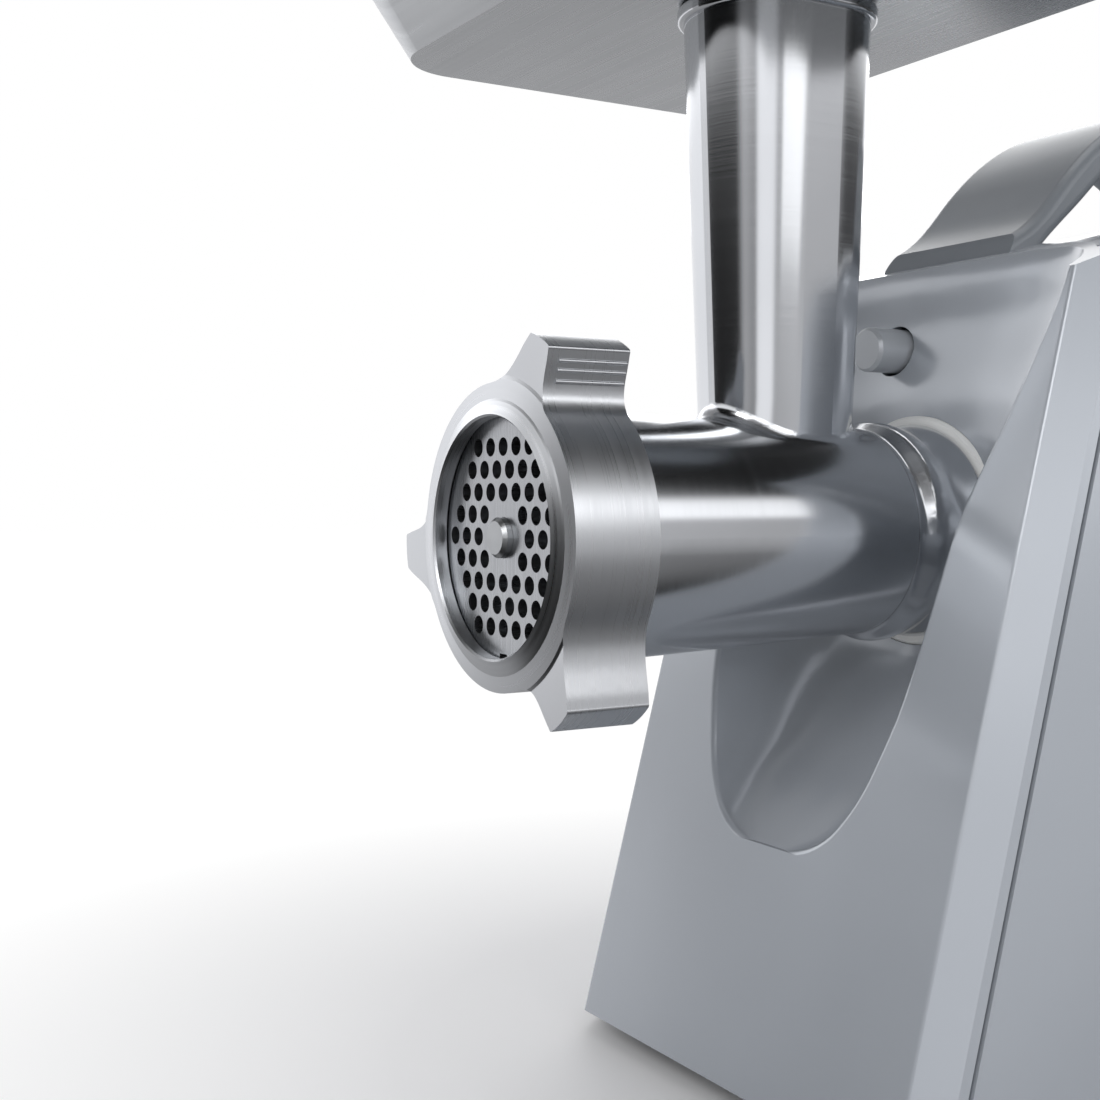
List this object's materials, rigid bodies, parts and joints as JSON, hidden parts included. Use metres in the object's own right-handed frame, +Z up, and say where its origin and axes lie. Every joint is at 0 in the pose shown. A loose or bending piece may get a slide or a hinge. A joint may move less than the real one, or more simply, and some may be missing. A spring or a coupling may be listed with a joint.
{
  "type": "electric meat grinder",
  "caption": "Upright electric meat grinder: metal barrel with feed tube, lobed ring nut, plate, knife and auger, plugged into a scooped silver motor housing with a strap handle.",
  "frame": {"origin": "centre of the bounding box on the table, under the feet", "axes": "-Y towards the outlet, +Z up, +X to the right seen from behind the outlet"},
  "size_m": [0.232, 0.3023, 0.3404],
  "materials": {
    "head_metal": "polished and lightly brushed casting",
    "nut_metal": "turned, satin",
    "plate_steel": "ground",
    "knife_steel": "ground",
    "auger_metal": "cast, satin",
    "pin_steel": "turned",
    "white_plastic": "smooth",
    "tray_metal": "brushed",
    "pusher_plastic": "satin",
    "housing_silver": "silver grey, semi gloss",
    "handle_grey": "satin",
    "button_silver": "semi gloss",
    "base_dark": "moulded, fine grain",
    "button_dark": "satin",
    "foot_rubber": "matt",
    "spring_steel": "bright wire",
    "bronze": "sintered",
    "gear_steel": "machined",
    "gear_nylon": "moulded",
    "gearbox_aluminium": "die cast",
    "lamination": "varnished laminations",
    "copper": "enamelled wire",
    "carbon": "pressed carbon",
    "bracket_steel": "zinc plated"
  },
  "bodies": {
    "housing": {"base_plate": "base_dark", "base_screws": "pin_steel", "bearings": "pin_steel", "board_posts": "base_dark", "brush_holders": "base_dark", "carbon_brushes": "carbon", "carry_handle": "handle_grey", "control_bezel": "base_dark", "cord_gland": "base_dark", "field_windings": "copper", "front_bracket": "bracket_steel", "front_shell": "housing_silver", "gearbox_case": "gearbox_aluminium", "gearbox_cover": "gearbox_aluminium", "gearbox_screws": "pin_steel", "latch_spring": "spring_steel", "layshaft_bushes": "bronze", "left_shell": "housing_silver", "motor_cradle": "base_dark", "output_bushes": "bronze", "power_switch": "base_dark", "rear_bracket": "bracket_steel", "reverse_switch": "base_dark", "right_shell": "housing_silver", "rubber_feet": "foot_rubber", "socket_ring": "white_plastic", "spring_stop": "spring_steel", "stator_stack": "lamination", "switch_board": "base_dark"},
    "head": {"grinder_head": "head_metal", "plate_key_pin": "pin_steel"},
    "plate": {"perforated_plate": "plate_steel"},
    "nut": {"ring_nut": "nut_metal"},
    "screw": {"auger": "auger_metal", "cutting_knife": "knife_steel", "auger_driver": "white_plastic", "driver_screw": "pin_steel", "thrust_washer": "plate_steel"},
    "tray": {"filling_tray": "tray_metal"},
    "pusher": {"food_pusher": "pusher_plastic", "pusher_cap": "pusher_plastic"},
    "output": {"output_shaft": "pin_steel", "output_gear": "gear_nylon"},
    "lay": {"layshaft": "pin_steel", "second_stage_pinion": "gear_steel", "first_stage_gear": "gear_nylon"},
    "rotor": {"rotor_shaft": "pin_steel", "motor_pinion": "gear_steel", "rotor_core": "lamination", "rotor_windings": "copper", "commutator": "copper", "cooling_fan": "base_dark"},
    "release": {"release_button": "button_silver"},
    "power": {"power_button": "button_dark"},
    "reverse": {"reverse_button": "button_dark"}
  },
  "joints": [
    {"name": "head_pull", "type": "slide", "parent": "housing", "child": "head", "axis": [0, -1, 0], "range_m": [0, 0.03]},
    {"name": "plate_travel", "type": "slide", "parent": "head", "child": "plate", "axis": [0, -1, 0], "range_m": [0, 0.007]},
    {"name": "nut_turn", "type": "hinge", "parent": "plate", "child": "nut", "pos_m": [0, -0.15005, 0.152], "axis": [0, -1, 0], "range_deg": [0, 720]},
    {"name": "auger_spin", "type": "hinge", "parent": "head", "child": "screw", "pos_m": [0, -0.09005, 0.152], "axis": [0, 1, 0], "continuous": true},
    {"name": "tray_lift", "type": "slide", "parent": "head", "child": "tray", "axis": [0, 0, 1], "range_m": [0, 0.03]},
    {"name": "pusher_lift", "type": "slide", "parent": "tray", "child": "pusher", "axis": [0, 0, 1], "range_m": [0, 0.12]},
    {"name": "output_spin", "type": "hinge", "parent": "housing", "child": "output", "pos_m": [0, 0.01495, 0.152], "axis": [0, 1, 0], "continuous": true},
    {"name": "layshaft_spin", "type": "hinge", "parent": "housing", "child": "lay", "pos_m": [0, 0.01495, 0.112], "axis": [0, 1, 0], "continuous": true},
    {"name": "rotor_spin", "type": "hinge", "parent": "housing", "child": "rotor", "pos_m": [0, 0.06495, 0.0848], "axis": [0, 1, 0], "continuous": true},
    {"name": "release_push", "type": "slide", "parent": "housing", "child": "release", "axis": [0, 1, 0], "range_m": [0, 0.006], "stiffness_N_per_m": 400, "springref_m": -0.004, "deforming": ["latch_spring"]},
    {"name": "power_push", "type": "slide", "parent": "housing", "child": "power", "axis": [1, 0, 0], "range_m": [0, 0.003], "stiffness_N_per_m": 600, "springref_m": -0.002},
    {"name": "reverse_push", "type": "slide", "parent": "housing", "child": "reverse", "axis": [1, 0, 0], "range_m": [0, 0.003], "stiffness_N_per_m": 600, "springref_m": -0.002}
  ],
  "couplings": [
    {"joint": "plate_travel", "follows": "nut_turn", "m_per_rad": 0.00055704},
    {"joint": "output_spin", "follows": "rotor_spin", "ratio": 0.049451},
    {"joint": "auger_spin", "follows": "rotor_spin", "ratio": 0.049451},
    {"joint": "layshaft_spin", "follows": "rotor_spin", "ratio": -0.21429}
  ]
}
